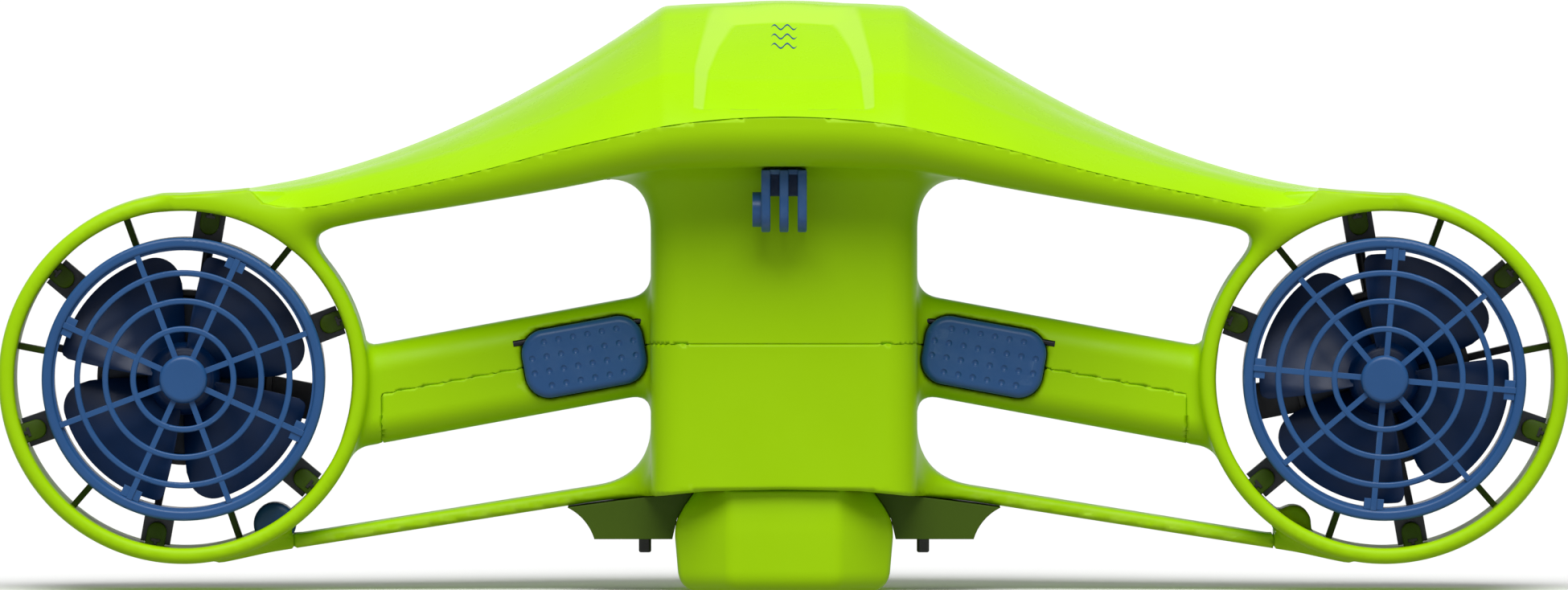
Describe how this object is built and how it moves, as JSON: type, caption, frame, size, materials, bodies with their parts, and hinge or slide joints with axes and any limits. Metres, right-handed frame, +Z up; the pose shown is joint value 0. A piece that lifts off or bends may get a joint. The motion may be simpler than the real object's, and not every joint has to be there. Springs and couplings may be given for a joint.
{
  "type": "underwater scooter",
  "caption": "Twin-thruster hand-held underwater scooter: winged body with grip bars and triggers, ducted propellers in guard rings and a slide-out battery pod.",
  "frame": {"origin": "middle of the footprint, on the bottom face of the battery pod", "axes": "+X across the two thrusters, -Y the direction of travel, +Z up"},
  "size_m": [0.519, 0.16, 0.1947],
  "materials": {
    "green_gloss": "high gloss moulded",
    "green_satin": "satin moulded",
    "green_shadow": "satin moulded, darker",
    "blue_satin": "satin moulded",
    "blue_rubber": "soft matt",
    "navy_duct": "satin moulded",
    "navy_blade": "semi-gloss moulded",
    "black_plastic": "fine texture",
    "grey_plastic": "fine texture",
    "steel": "bright",
    "aluminium": "anodised",
    "copper": "enamelled wire",
    "magnet": "nickel plated",
    "seal_rubber": "matt",
    "cell_wrap": "shrink wrap",
    "board": "solder mask",
    "lead": "silicone"
  },
  "bodies": {
    "body": {"battery_sleeve": "grey_plastic", "camera_mount": "blue_satin", "camera_nut": "steel", "charge_port": "black_plastic", "contact_block": "black_plastic", "control_board": "board", "cover_screws": "steel", "dry_box": "grey_plastic", "dry_box_lid": "grey_plastic", "dry_box_seal": "seal_rubber", "duct_left": "navy_duct", "duct_right": "navy_duct", "duct_screws": "steel", "front_grille_left": "blue_satin", "front_grille_right": "blue_satin", "hood_panel": "green_gloss", "housing_screws": "steel", "latch_housing_left": "green_shadow", "latch_housing_right": "green_shadow", "latch_leaf_left": "steel", "latch_leaf_right": "steel", "latch_spring_left": "steel", "latch_spring_right": "steel", "lower_housing": "green_satin", "motor_bearings": "steel", "motor_can_left": "aluminium", "motor_can_right": "aluminium", "motor_lead_left": "lead", "motor_lead_right": "lead", "sensor_boards": "board", "shaft_seals": "seal_rubber", "stator_left": "copper", "stator_right": "copper", "top_cover": "green_gloss", "trigger_pins": "steel", "trigger_spring_left": "steel", "trigger_spring_right": "steel", "upper_frame": "green_satin"},
    "battery": {"battery_case": "green_satin", "battery_cells": "cell_wrap", "battery_lid": "black_plastic", "battery_seal": "seal_rubber"},
    "power_button": {"power_button": "blue_satin"},
    "charge_cap": {"charge_cap": "blue_rubber"},
    "screw_left": {"propeller_left": "navy_blade", "prop_nut_left": "steel", "rotor_left": "magnet", "motor_shaft_left": "steel"},
    "trigger_left": {"trigger_left": "blue_satin", "trigger_magnet_left": "magnet"},
    "latch_left": {"latch_button_left": "black_plastic"},
    "screw_right": {"propeller_right": "navy_blade", "prop_nut_right": "steel", "rotor_right": "magnet", "motor_shaft_right": "steel"},
    "trigger_right": {"trigger_right": "blue_satin", "trigger_magnet_right": "magnet"},
    "latch_right": {"latch_button_right": "black_plastic"}
  },
  "joints": [
    {"name": "prop_spin_left", "type": "hinge", "parent": "body", "child": "screw_left", "pos_m": [-0.1984, 0, 0.0701], "axis": [0, 1, 0], "continuous": true},
    {"name": "trigger_press_left", "type": "hinge", "parent": "body", "child": "trigger_left", "pos_m": [-0.06752, -0.0226, 0.08572], "axis": [0.9836, 0, 0.1805], "range_deg": [0, 7], "stiffness_Nm_per_rad": 0.12, "springref_deg": -2.86, "deforming": ["trigger_spring_left"]},
    {"name": "latch_press_left", "type": "slide", "parent": "body", "child": "latch_left", "axis": [0, 0, 1], "range_m": [0, 0.003], "stiffness_N_per_m": 900, "springref_m": -0.001, "deforming": ["latch_spring_left"]},
    {"name": "prop_spin_right", "type": "hinge", "parent": "body", "child": "screw_right", "pos_m": [0.1984, 0, 0.0701], "axis": [0, 1, 0], "continuous": true},
    {"name": "trigger_press_right", "type": "hinge", "parent": "body", "child": "trigger_right", "pos_m": [0.06752, -0.0226, 0.08572], "axis": [0.9836, 0, -0.1805], "range_deg": [0, 7], "stiffness_Nm_per_rad": 0.12, "springref_deg": -2.86, "deforming": ["trigger_spring_right"]},
    {"name": "latch_press_right", "type": "slide", "parent": "body", "child": "latch_right", "axis": [0, 0, 1], "range_m": [0, 0.003], "stiffness_N_per_m": 900, "springref_m": -0.001, "deforming": ["latch_spring_right"]},
    {"name": "battery_slide", "type": "slide", "parent": "body", "child": "battery", "axis": [0, 0, -1], "range_m": [0, 0.12], "deforming": ["latch_leaf_left", "latch_leaf_right"]},
    {"name": "power_press", "type": "slide", "parent": "body", "child": "power_button", "axis": [0, -0.6478, -0.7618], "range_m": [0, 0.0012], "stiffness_N_per_m": 700, "springref_m": -0.0006},
    {"name": "charge_cap_pull", "type": "slide", "parent": "body", "child": "charge_cap", "axis": [0, 1, 0], "range_m": [0, 0.012]}
  ]
}
